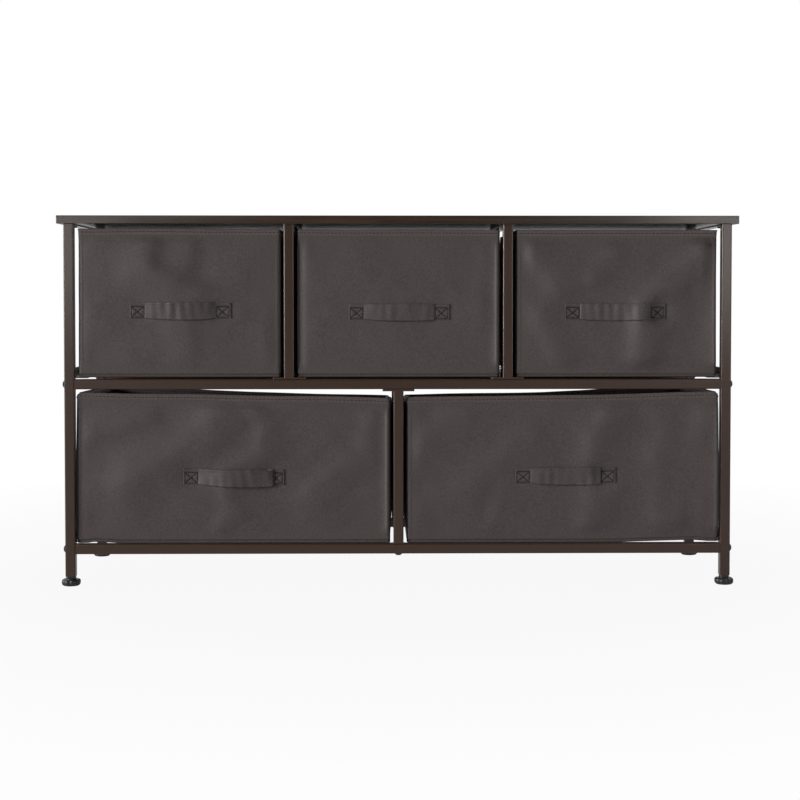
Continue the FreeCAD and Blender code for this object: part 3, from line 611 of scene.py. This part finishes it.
class Drawer:
    """One fabric drawer: its CAD box, its look and the places on its cloth."""

    def __init__(self, name):
        low, high = (np.array(corner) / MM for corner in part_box(f"{name}_skin"))
        self.name = name
        self.look = LOOKS[name]
        self.middle = (low + high) / 2.0
        self.floor = low[2]
        self.height = high[2] - low[2]
        half = (high - low) / 2.0
        self.loop = Loop(half[0], half[1])
        grip_low, grip_high = (np.array(corner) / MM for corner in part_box(f"{name}_handle"))
        self.grip_half = (grip_high - grip_low) / 2.0
        self.grip_height = (grip_low[2] + grip_high[2]) / 2.0 - self.floor

    def waves(self, kind, first, second):
        rise, wavelength, step = WAVES[kind]
        return rise * ripple(first, second, wavelength, self.look["seed"] + step)

    def fade(self, kind, z):
        """Full in the field of a wall and nothing at its bottom and top edges."""
        bottom, top = FADES[kind]
        return smooth(z, *bottom) * smooth(self.height - z, *top)

    def front_ends(self, x, z):
        """How far the ends of the front fall or rise, with the seam at the corner."""
        away = self.loop.half_x - np.abs(x) - CORNER
        left, right = (
            rise * np.clip(1.0 - away / reach, 0.0, 1.0) ** 2 for rise, reach in self.look["edges"]
        )
        ends = np.where(x < 0.0, left, right) + SEAM_RISE * hill(away - SEAM_INSET, SEAM_WIDTH)
        return ends * self.fade("ends", z)

    def front_relief(self, x, z):
        """How far the front stands out at a place, with its folds and its ends."""
        half_x = self.loop.half_x
        up = z - self.height / 2.0
        total = CROWN * (1.0 - (x / half_x) ** 2) * (1.0 - (2.0 * up / self.height) ** 2)
        total = total + self.waves("slow", x, up) + self.waves("fine", x, up)
        for fold in self.look["folds"]:
            total = total + ridge(x, up, *fold)
        calm = hill(np.abs(np.abs(x) - CALM_PLACE), CALM_WIDTH) * hill(z - self.grip_height, CALM_HEIGHT)
        fade = smooth(half_x - np.abs(x), *FRONT_MARGIN) * self.fade("front", z)
        return total * fade * (1.0 - CALM_SHARE * calm) + self.front_ends(x, z)

    def side_relief(self, kind, along, z):
        """The two ridges of a fold seam in the middle of a side, and soft waves."""
        away = along - FOLD_SLANT * (z / self.height - 0.5)
        ridges = RIDGE_RISE * hill(np.abs(away) - RIDGE_AWAY, RIDGE_WIDTH)
        crease = CREASE_DEPTH * hill(away, CREASE_WIDTH)
        return (ridges - crease + self.waves(kind, along, z)) * self.fade("side", z)

    def rear_relief(self, x, z):
        margin = smooth(self.loop.half_x - np.abs(x), *REAR_MARGIN)
        return self.waves("rear", x, z) * self.fade("rear", z) * margin

    def relief(self, z):
        """Outward rise of every station at every height."""
        loop = self.loop
        x, along, z = loop.points[None, :, 0], loop.along[None, :], z[:, None]
        total = np.where(loop.wall == FRONT, self.front_relief(x, z), 0.0)
        total = np.where(loop.wall == RIGHT, self.side_relief("right", along, z), total)
        total = np.where(loop.wall == LEFT, self.side_relief("left", along, z), total)
        return np.where(loop.wall == REAR, self.rear_relief(x, z), total)

    def corner_rise(self, z):
        """How far the front corners go forward with the ends of the front."""
        loop = self.loop
        share = np.where(loop.wall == TURN, np.clip(-loop.normals[:, 1], 0.0, 1.0), 0.0)
        return self.front_ends(loop.points[None, :, 0], z[:, None]) * share[None, :]

    def bulge(self, y, z):
        """How far the side walls stand out into the bay."""
        loop = self.loop
        taper = np.clip(1.0 - loop.inset / BULGE_TAPER, 0.0, 1.0) ** 2
        near = np.where(np.isin(loop.wall, (FRONT, REAR)), taper, 1.0)
        total = np.zeros((len(z), len(loop.points)))
        for kind, side in zip(self.look["bulge"], (-1.0, 1.0)):
            heights, reach, corner = BULGES[kind]
            out = np.interp(z, heights, reach)[:, None]
            share = np.interp(y, (-loop.half_y, -loop.half_y + BULGE_START), (corner, 1.0))[None, :]
            total += np.where(loop.points[:, 0] * side > 0.0, out * share * near * side, 0.0)
        return total

    def settle(self, x, y, z):
        """World places of the drawer's own places, with its tilt and its drooping rear."""
        look, loop = self.look, self.loop
        back = np.clip((y + loop.half_y) / (2.0 * loop.half_y), 0.0, 1.0)
        droop = np.interp(x, *look.get("droop", LEVEL)) * back ** DROOP_POWER
        share = np.clip(z / self.height, 0.0, 1.0)
        low = np.interp(x, *look.get("floor", LEVEL)) * (1.0 - smooth(y + loop.half_y, *FLOOR_REACH))
        high = np.interp(x, *look.get("rim", LEVEL))
        lift = low + (high - low) * share
        up = z - droop * share + self.waves("rim", x, y) * share ** RIM_POWER + lift
        return np.stack([x + self.middle[0], y + self.middle[1], up + self.floor], axis=-1)

    def rows(self, profile, shaped=True):
        """Loops of points for a profile of heights and outward offsets."""
        loop = self.loop
        z = np.array([height for height, offset in profile])
        out = np.array([offset for height, offset in profile])[:, None]
        if shaped:
            out = out + self.relief(z)
        x = loop.points[None, :, 0] + loop.normals[None, :, 0] * out
        y = loop.points[None, :, 1] + loop.normals[None, :, 1] * out
        if shaped:
            x = x + self.bulge(loop.points[:, 1], z)
            y = y - self.corner_rise(z)
        return self.settle(x, y, np.broadcast_to(z[:, None], x.shape))

    def floor_rows(self, height, sag, rings):
        """Loops that run in from the edge of the floor."""
        loop, made = self.loop, []
        for inset in rings:
            x = loop.points[:, 0] * (1.0 - inset / loop.half_x)
            y = loop.points[:, 1] * (1.0 - inset / loop.half_y)
            hollow = (1.0 - (x / loop.half_x) ** 2) * (1.0 - (y / loop.half_y) ** 2)
            made.append(self.settle(x, y, height - sag * hollow))
        return np.stack(made)


# Drawer pieces

# Drop below the rim and offset from the wall, from the foot of a hem over the rim
PLAIN_HEM = (
    (9.6, 0.0), (8.0, 0.1), (6.4, 0.15), (5.7, -0.1), (5.2, -0.35), (4.7, 0.0), (3.4, 0.3), (2.0, 0.25),
    (0.9, -0.2), (0.3, -0.9), (0.0, -2.0), (0.0, -2.7), (0.3, -3.7), (1.0, -4.4),
)
ROLLED_HEM = (
    (9.6, 0.0), (9.1, -0.3), (8.6, 0.9), (7.2, 0.6), (5.8, 0.15), (5.2, -0.35), (4.6, -0.2), (3.2, -0.6),
    (1.8, -1.1), (0.8, -1.5), (0.2, -1.9), (0.0, -2.6), (0.3, -3.8), (1.0, -4.4),
)
HEM_INSIDE = ((3.0, -4.75), (6.9, -4.65), (11.6, -4.95), (12.2, -4.4), (12.4, -3.9))
SHAPED_HEM_ROWS = 8
STITCH_DROP = 5.2
STITCH_OUTSIDE, STITCH_INSIDE = -0.2, -4.65
HEM_STITCH = {"pitch": 5.6, "length": 3.4, "radius": 0.75}

# Height above the floor and offset from the wall
BOTTOM_SEAM = (
    (0.0, -4.0), (0.3, -1.8), (0.9, -0.7), (1.7, 0.1), (2.4, -0.3), (3.0, -1.5), (3.8, -1.7), (4.6, -0.9),
    (5.4, -0.2), (6.4, 0.0),
)
FIELD_LOW, FIELD_DROP = 8.5, 10.5
INNER_WALL = -3.9
INNER_FOOT = 2.0

# Insets of the floor's loops, its thickness, and its sag where it hangs free or lies on its runners
FLOOR_RINGS = (100.0, 70.0, 40.0, 20.0, 9.0)
FLOOR_THICK = 1.2
FREE_SAG, RESTING_SAG = 0.9, 0.1

LINING_LOW, LINING_DROP, LINING_LEVELS = 3.0, 11.8, 24
LINING_OUTER, LINING_INNER = 4.0, 4.7
LINING_MARGIN = (4.0, 30.0)
LINING_RIDGE, LINING_RIDGE_AWAY, LINING_CREASE, LINING_FOLD_WIDTH = 0.5, 3.0, 0.35, 1.2
NO_FOLD = 99.0

BASE_PROFILE = ((1.5, -6.6), (1.9, -6.0), (2.8, -5.8), (3.7, -6.1), (4.1, -6.9))
BASE_RINGS = (100.0, 40.0, 9.0)
BASE_SAG = 0.3


def add_skin(drawer):
    """The cloth of a drawer from the middle of its floor up the walls, over the hem and down inside."""
    name, height = drawer.name, drawer.height
    hem = ROLLED_HEM if drawer.look.get("rolled") else PLAIN_HEM
    levels = np.linspace(FIELD_LOW, height - FIELD_DROP, int(height / FACE_STEP))
    field = list(BOTTOM_SEAM) + [(level, 0.0) for level in levels]
    outside = field + [(height - drop, offset) for drop, offset in hem[:SHAPED_HEM_ROWS]]
    inside = [(height - drop, offset) for drop, offset in hem[SHAPED_HEM_ROWS:] + HEM_INSIDE]
    inside += [(height / 2.0, INNER_WALL), (INNER_FOOT, INNER_WALL)]
    sag = RESTING_SAG if "floor" in drawer.look else FREE_SAG
    rows = np.concatenate([
        drawer.floor_rows(0.0, sag, FLOOR_RINGS),
        drawer.rows(outside),
        drawer.rows(inside, shaped=False),
        drawer.floor_rows(FLOOR_THICK, 0.0, FLOOR_RINGS[::-1]),
    ])
    points, faces = loft(rows)
    made = add_mesh(f"{name}_cloth", points, faces, cloth, name)
    # The hem's points are marked for the cloth's painted sheen.
    marks = np.zeros(len(rows))
    first = len(FLOOR_RINGS) + len(field) + 1
    marks[first:first + len(hem) + 1] = 1.0
    attribute = made.data.attributes.new(HEM_SHEEN_MARK, "FLOAT", "POINT")
    attribute.data.foreach_set("value", np.repeat(marks, rows.shape[1]))
    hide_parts(f"{name}_skin", f"{name}_panels")


def add_lining(drawer):
    """A band of lining inside the walls, with the fold of the side walls in it."""
    name, loop = drawer.name, drawer.loop
    levels = np.linspace(LINING_LOW, drawer.height - LINING_DROP, LINING_LEVELS)
    away = np.where(np.isin(loop.wall, (LEFT, RIGHT)), loop.along, NO_FOLD)
    ridges = LINING_RIDGE * hill(np.abs(away) - LINING_RIDGE_AWAY, LINING_FOLD_WIDTH)
    crease = ridges - LINING_CREASE * hill(away, LINING_FOLD_WIDTH)
    soft = np.where(loop.wall == TURN, 0.0, 1.0) * smooth(loop.inset, *LINING_MARGIN)
    x, y = loop.points.T
    rows = []
    for level in levels:
        moved = loop.points - loop.normals * LINING_OUTER
        rows.append(drawer.settle(moved[:, 0], moved[:, 1], np.full_like(x, level)))
    for level in levels[::-1]:
        waves = drawer.waves("lining", x + y, np.full_like(x, level))
        inward = LINING_INNER + (crease + waves * soft)
        moved = loop.points - loop.normals * inward[:, None]
        rows.append(drawer.settle(moved[:, 0], moved[:, 1], np.full_like(x, level)))
    points, faces = ring(np.stack(rows))
    made = add_mesh(f"{name}_lining_cloth", points, faces, lining, name)
    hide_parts(f"{name}_lining")


def add_base(drawer):
    """The loose base board in its cloth cover."""
    name = drawer.name
    low, high = BASE_PROFILE[0][0], BASE_PROFILE[-1][0]
    points, faces = loft(np.concatenate([
        drawer.floor_rows(low, 0.0, BASE_RINGS),
        drawer.rows(BASE_PROFILE, shaped=False),
        drawer.floor_rows(high, BASE_SAG, FLOOR_RINGS[::-1]),
    ]))
    made = add_mesh(f"{name}_base_cover", points, faces, lining, name)
    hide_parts(f"{name}_base")


def add_hem_stitches(drawer):
    loop, level = drawer.loop, drawer.height - STITCH_DROP
    outer = drawer.rows([(level, STITCH_OUTSIDE)])[0]
    inner = drawer.rows([(level, STITCH_INSIDE)], shaped=False)[0]
    facing = np.concatenate([loop.normals, np.zeros((len(outer), 1))], axis=1)
    outer, inner, facing = (np.concatenate([values, values[:1]]) for values in (outer, inner, facing))
    seams = [seam(path, facing, **HEM_STITCH) for path in (outer, inner)]
    add_stitches(f"{drawer.name}_hem_seams", seams, hem_thread, drawer.name)


# Handle straps

# The length of a sewn end, how much a strap is shorter than its solid at each end, its thickness and its gap
GRIP_BOX = 23.0
GRIP_TRIM = 0.6
GRIP_THICK = 1.5
GRIP_GAP = 0.1

# Half the sewn box, how far it lies below the strap's middle, and how its seams press in
SEWN_WIDE = 9.3
SEWN_HIGH = 7.75
SEWN_DROP = 2.1
SEWN_DENT, SEWN_DENT_WIDTH = 0.85, 0.9
SEWN_SUNK = 0.25
SEWN_POINTS = 12
SEWN_STITCH = {"pitch": 3.1, "length": 2.6, "radius": 0.85}

# Points along a sewn end and along the free span, and across the front and the back of the strap
END_POINTS, SPAN_POINTS = 23, 62
FRONT_POINTS, BACK_POINTS = 25, 7
STRAP_ROUND = 0.7
STRAP_SHOULDER, SHOULDER_SHARE = 0.15, 0.6

# The raised edges of the strap, and how its free span flares, leans and wrinkles
EDGE_RISE, EDGE_INSET, EDGE_WIDTH = 0.25, 1.5, 1.0
SPAN_FLARE = 0.11
SPAN_LEAN = -1.0
WRINKLE_SLANT = 0.25

# Where a strap is sewn on, off its solid's place across and in height, then how its free span lies:
# the pull of its left and right end along the strap, its reach and how far it hangs.
GRIPS = {
    "drawer_top_left": (2.0, 0.4, 12.0, -6.0, 3.2, 1.4),
    "drawer_top_middle": (1.0, -1.2, 14.0, 9.0, 3.6, 1.0),
    "drawer_top_right": (-3.1, -0.2, -3.0, -6.0, 3.2, 1.4),
    "drawer_bottom_left": (-1.0, 0.4, 26.0, 34.0, 7.0, 2.6),
    "drawer_bottom_right": (5.0, 2.0, 15.0, 12.0, 4.0, 1.6),
}


def sewn_lines():
    """The sewn box and its two diagonals, as pairs of ends."""
    low, high = -SEWN_DROP - SEWN_HIGH, -SEWN_DROP + SEWN_HIGH
    corners = [(-SEWN_WIDE, low), (SEWN_WIDE, low), (SEWN_WIDE, high), (-SEWN_WIDE, high)]
    sides = [(corners[number - 1], corners[number]) for number in range(4)]
    return sides + [(corners[0], corners[2]), (corners[1], corners[3])]


def sewn_dent(across, up):
    """How deep the seams pull a sewn end in, as a share."""
    dent = np.zeros(np.broadcast(across, up).shape)
    for (x0, z0), (x1, z1) in sewn_lines():
        run = np.array((x1 - x0, z1 - z0))
        share = np.clip(((across - x0) * run[0] + (up - z0) * run[1]) / run.dot(run), 0.0, 1.0)
        distance = np.hypot(across - x0 - share * run[0], up - z0 - share * run[1])
        dent = np.maximum(dent, hill(distance, SEWN_DENT_WIDTH))
    return dent


def strap_section(half_height):
    """Heights and depths around the strap, dense on its front."""
    half = GRIP_THICK / 2.0
    flat = half_height - STRAP_ROUND
    shoulder, depth = half_height - STRAP_SHOULDER, SHOULDER_SHARE * half
    front = [(place, half) for place in np.linspace(-flat, flat, FRONT_POINTS)]
    top = [(shoulder, depth), (half_height, 0.0), (shoulder, -depth)]
    back = [(place, -half) for place in np.linspace(flat, -flat, BACK_POINTS)]
    foot = [(-height, depth) for height, depth in top[::-1]]
    return np.array(front + top + back + foot)


def strap_line(half_length, left_pull, right_pull, reach):
    """The strap seen from above: places along the front, away from it, and how free each hangs."""
    inner = half_length - GRIP_BOX
    end = np.linspace(-half_length, -inner, END_POINTS)
    share = np.linspace(0.0, 1.0, SPAN_POINTS)[1:-1]
    left = 1 - share
    weights = np.stack([left ** 3, 3 * share * left ** 2, 3 * share ** 2 * left, share ** 3])
    span_x = weights.T @ np.array((-inner, -inner + left_pull, inner + right_pull, inner))
    span_out = weights.T @ np.array((0.0, reach, reach, 0.0))
    sewn = np.zeros(len(end))
    x = np.concatenate([end, span_x, -end[::-1]])
    out = np.concatenate([sewn, span_out, sewn])
    free = np.concatenate([sewn, np.sin(math.pi * share), sewn])
    return x, out, free


def add_handle(drawer):
    """The strap of a drawer, and the seams of its two sewn ends."""
    name, half_y = drawer.name, drawer.loop.half_y
    shift_x, shift_z, left_pull, right_pull, reach, hang = GRIPS[name]
    half_length, half_height = drawer.grip_half[0] - GRIP_TRIM, drawer.grip_half[2]
    sewn_place = half_length - GRIP_BOX / 2.0
    middle_z = drawer.grip_height + shift_z

    line = strap_line(half_length, left_pull, right_pull, reach)
    run = np.stack([np.gradient(line[0]), np.gradient(line[1])])
    run /= np.linalg.norm(run, axis=0)
    walked = np.concatenate([[0.0], np.cumsum(np.hypot(np.diff(line[0]), np.diff(line[1])))])
    x, out, free, along, outward, walked = (values[:, None] for values in (*line, *run, walked))
    up, depth = (values[None, :] for values in strap_section(half_height).T)

    front = np.where(depth > 0.0, 1.0, 0.0)
    edge = EDGE_RISE * hill(np.abs(up) - half_height + EDGE_INSET, EDGE_WIDTH)
    shift = depth + drawer.waves("strap", walked, up * WRINKLE_SLANT) * free + edge * front
    dent = SEWN_DENT * sewn_dent(np.abs(x) - sewn_place, up)
    shift = shift - np.where(free == 0.0, front, 0.0) * dent
    place_x = shift_x + x - outward * shift
    away = out + along * shift + GRIP_THICK / 2.0 + GRIP_GAP
    lean = SPAN_LEAN * free * up / half_height
    height = middle_z + up * (1.0 + SPAN_FLARE * free) - hang * free
    y = -half_y - drawer.front_relief(place_x, height) - away + lean
    points, faces = loft(drawer.settle(place_x, y, height))
    made = add_mesh(f"{name}_strap", points, faces, cloth, name)
    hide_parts(f"{name}_handle")

    seams = []
    share = np.linspace(0.0, 1.0, SEWN_POINTS)
    facing = np.broadcast_to(np.array((0.0, -1.0, 0.0)), (SEWN_POINTS, 3))
    for side in (-1.0, 1.0):
        for (x0, z0), (x1, z1) in sewn_lines():
            line_x = shift_x + side * sewn_place + x0 + (x1 - x0) * share
            line_z = middle_z + z0 + (z1 - z0) * share
            line_y = -half_y - drawer.front_relief(line_x, line_z) - GRIP_THICK + SEWN_SUNK
            seams.append(seam(drawer.settle(line_x, line_y, line_z), facing, **SEWN_STITCH))
    add_stitches(f"{name}_strap_seams", seams, thread, name)


for drawer_name in LOOKS:
    drawer = Drawer(drawer_name)
    add_skin(drawer)
    add_lining(drawer)
    add_base(drawer)
    add_handle(drawer)
    add_hem_stitches(drawer)


# Feet

FOOT_LOBES = 8
FOOT_AROUND = 96
LOBE_DEPTH = 2.0
LOBE_POWER = 0.8

# Height, radius and share of the lobes from the underside to the hub
FOOT_PROFILE = (
    (0.0, 9.5, 0.0), (0.0, 11.0, 0.0), (0.2, 11.6, 0.1), (0.8, 12.4, 0.4), (1.5, 13.1, 0.8),
    (2.4, 13.7, 1.0), (3.4, 14.0, 1.0), (6.8, 14.0, 1.0), (7.8, 13.8, 1.0), (8.6, 13.3, 1.0),
    (9.2, 12.5, 0.8), (9.5, 11.6, 0.5), (9.4, 10.6, 0.25), (8.9, 9.6, 0.1), (8.5, 8.6, 0.0),
    (8.45, 7.9, 0.0), (8.8, 7.5, 0.0), (9.6, 7.4, 0.0), (10.2, 7.1, 0.0), (10.4, 6.5, 0.0),
    (10.4, 4.6, 0.0),
)


def add_foot(pad):
    low, high = (np.array(corner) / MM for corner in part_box(pad))
    middle = (low + high) / 2.0
    turns = np.arange(FOOT_AROUND) * 2.0 * math.pi / FOOT_AROUND
    lobes = np.abs(np.sin(FOOT_LOBES * turns / 2.0)) ** LOBE_POWER
    rows = []
    for height, radius, share in FOOT_PROFILE:
        reach = radius - LOBE_DEPTH * share * (1.0 - lobes)
        rows.append(np.stack([
            middle[0] + reach * np.cos(turns),
            middle[1] + reach * np.sin(turns),
            np.full_like(turns, low[2] + height),
        ], axis=-1))
    points, faces = loft(np.stack(rows))
    body = pad.replace("foot_pad", "foot")
    made = add_mesh(f"{pad}_moulding", points, faces, moulding, body)
    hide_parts(pad)


for name in sorted(nodes):
    if name.startswith("foot_pad"):
        add_foot(name)


# Lights

LIGHT_TARGET = Vector((0.0, 0.0, 0.28))

# Place, size and power of each lamp, in metres and watts
LIGHTS = {
    "key_box": ((-10.0, -5.0, 2.3), (4.4, 4.4), 1540.0),
    "left_box": ((-1.1, -2.75, 0.62), (0.5, 0.5), 3.0),
    "right_box": ((1.1, -2.75, 0.62), (0.5, 0.5), 3.5),
    "left_glow": ((-0.66, -2.85, 0.6), (0.5, 0.6), 0.45),
    "right_glow": ((0.6, -2.85, 0.6), (0.5, 0.6), 0.35),
    "right_fill": ((2.0, -2.6, 1.0), (0.5, 1.2), 7.0),
    "right_strip": ((2.3, -1.1, 0.45), (0.5, 0.6), 5.0),
    "top_box": ((0.0, 0.3, 3.0), (2.6, 2.0), 18.0),
}


def add_light(name, place, size, power):
    light = bpy.data.lights.new(name, "AREA")
    light.shape = "RECTANGLE"
    light.size, light.size_y = size
    light.energy = power
    made = bpy.data.objects.new(name, light)
    bpy.context.scene.collection.objects.link(made)
    made.location = place
    made.rotation_euler = (LIGHT_TARGET - Vector(place)).to_track_quat("-Z", "Y").to_euler()


for name, (place, size, power) in LIGHTS.items():
    add_light(name, place, size, power)


# Stage

FLOOR_SIZE = 16.0
FLOOR_GREY = (0.16, 0.16, 0.16, 1.0)
FLOOR_GLOSS = 0.5

# How white the floor is seen near the chest, and the distances between which that turns to full white
FLOOR_WHITE = 0.93
FLOOR_TURN = (0.5, 1.5)

# The studio that other rays see: its strength in front and behind, and where that changes
STUDIO_FRONT, STUDIO_BACK = 0.045, 0.95
STUDIO_TURN = (-0.2, 0.35)
WHITE_TURN = (0.0, 0.35)


def seen_rays(graph, gloss):
    """How much of a ray sees the white background: camera and transmitted rays all, glossy ones a share."""
    path = graph.add("ShaderNodeLightPath").outputs
    through = graph.math("MAXIMUM", path["Is Camera Ray"], path["Is Transmission Ray"])
    return graph.math("MAXIMUM", through, graph.math("MULTIPLY", path["Is Glossy Ray"], gloss))


def add_floor():
    bpy.ops.mesh.primitive_plane_add(size=FLOOR_SIZE)
    floor = bpy.context.object
    floor.name = "floor"
    material = bpy.data.materials.new("floor_white")
    material.use_nodes = True
    graph = Graph(material.node_tree)
    graph.tree.nodes.clear()
    place = graph.add("ShaderNodeTexCoord").outputs["Object"]
    distance = graph.add("ShaderNodeVectorMath", {0: place}, operation="LENGTH").outputs["Value"]
    far = graph.spread(distance, FLOOR_WHITE, 1.0, FLOOR_TURN)
    share = graph.math("MULTIPLY", seen_rays(graph, FLOOR_GLOSS), far)
    matt = graph.add("ShaderNodeBsdfDiffuse", {"Color": FLOOR_GREY}).outputs["BSDF"]
    glow = graph.add("ShaderNodeEmission").outputs["Emission"]
    mix = graph.add("ShaderNodeMixShader", {0: share, 1: matt, 2: glow}).outputs["Shader"]
    graph.add("ShaderNodeOutputMaterial", {"Surface": mix})
    floor.data.materials.append(material)


def add_world():
    """White for the camera. Other rays see a studio, white behind the chest and darker in front."""
    world = bpy.data.worlds.new("studio")
    bpy.context.scene.world = world
    world.use_nodes = True
    graph = Graph(world.node_tree)
    graph.tree.nodes.clear()
    facing = graph.add("ShaderNodeTexCoord").outputs["Generated"]
    depth = graph.add("ShaderNodeSeparateXYZ", {"Vector": facing}).outputs["Y"]
    level = graph.spread(depth, STUDIO_FRONT, STUDIO_BACK, STUDIO_TURN)
    seen = seen_rays(graph, graph.spread(depth, 0.0, 1.0, WHITE_TURN))
    studio = graph.add("ShaderNodeBackground", {"Color": WHITE, "Strength": level}).outputs["Background"]
    white = graph.add("ShaderNodeBackground", {"Color": WHITE}).outputs["Background"]
    mix = graph.add("ShaderNodeMixShader", {0: seen, 1: studio, 2: white}).outputs["Shader"]
    graph.add("ShaderNodeOutputWorld", {"Surface": mix})


add_floor()
add_world()


# Camera

CAMERA_DOWN = 1.961
CAMERA_RIGHT = 0.808

lens = bpy.data.cameras.new("front_view")
lens.sensor_width = 36.0
lens.lens = 74.43
lens.shift_y = -0.0625
lens.clip_end = 50.0
camera = bpy.data.objects.new("front_view", lens)
bpy.context.scene.collection.objects.link(camera)
camera.location = (-0.0321, -2.5766, 0.4311)
camera.rotation_euler = (math.radians(90.0 - CAMERA_DOWN), 0.0, math.radians(-CAMERA_RIGHT))

scene = bpy.context.scene
scene.camera = camera
scene.view_settings.view_transform = "Standard"
